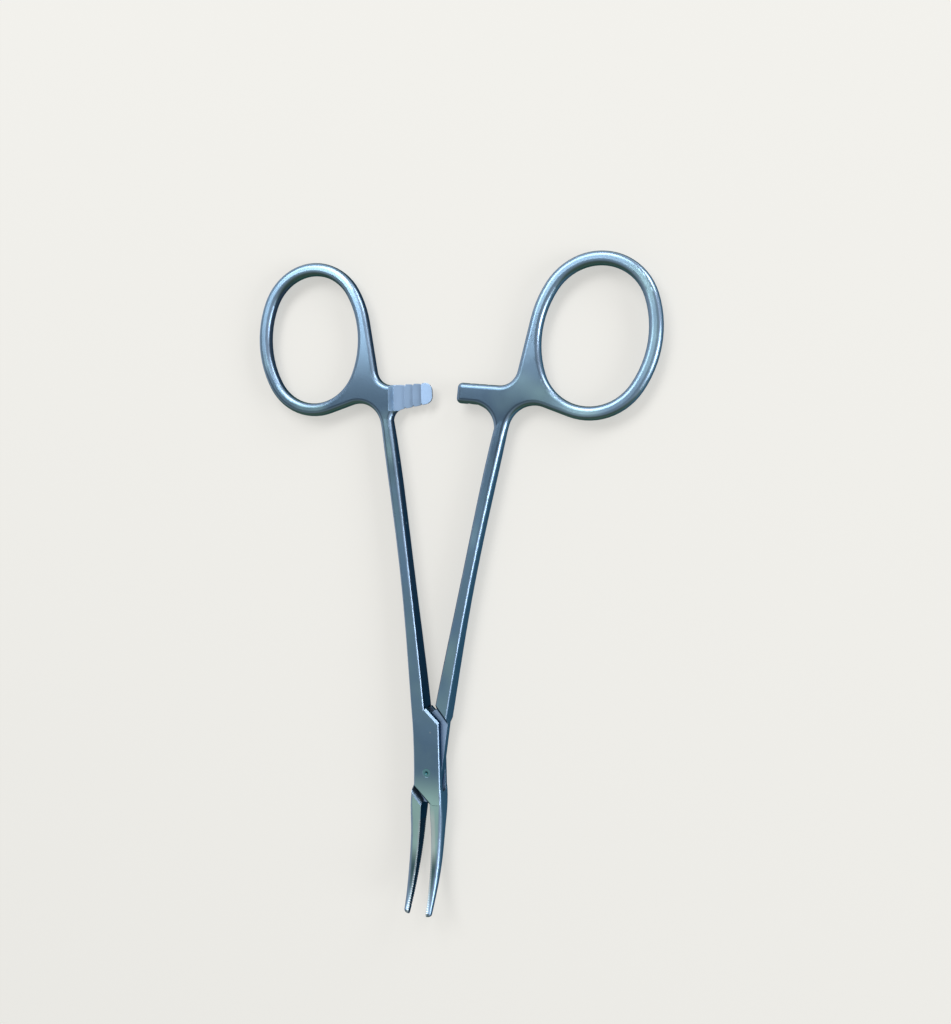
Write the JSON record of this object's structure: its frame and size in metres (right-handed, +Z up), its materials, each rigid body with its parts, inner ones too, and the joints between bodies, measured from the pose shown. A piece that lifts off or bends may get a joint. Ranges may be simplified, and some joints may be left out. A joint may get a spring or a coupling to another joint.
{
  "type": "hemostat forceps",
  "caption": "Curved mosquito hemostat forceps in satin steel: box-lock pivot, oval finger rings, toothed ratchet bars and slim serrated jaws curving upward, lying open.",
  "frame": {"origin": "on the pivot axis, at the flat underside of the box lock on which the instrument lies", "axes": "+Z up along the pivot axis, +Y from the pivot to the finger rings, jaws towards -Y, +X to the right as pictured"},
  "size_m": [0.0808, 0.1232, 0.0061],
  "materials": {
    "forged_steel": "satin stainless steel, cool blue-grey, brighter along the rounded edges",
    "pin_steel": "satin stainless steel, punched and ground flush"
  },
  "bodies": {
    "female_arm": {"female_half": "forged_steel", "pivot_pin": "pin_steel"},
    "male_arm": {"male_half": "forged_steel"}
  },
  "joints": [
    {"name": "box_lock", "type": "hinge", "parent": "female_arm", "child": "male_arm", "pos_m": [0, 0, 0.002], "axis": [0, 0, 1], "range_deg": [-52.4, 7.6]}
  ]
}
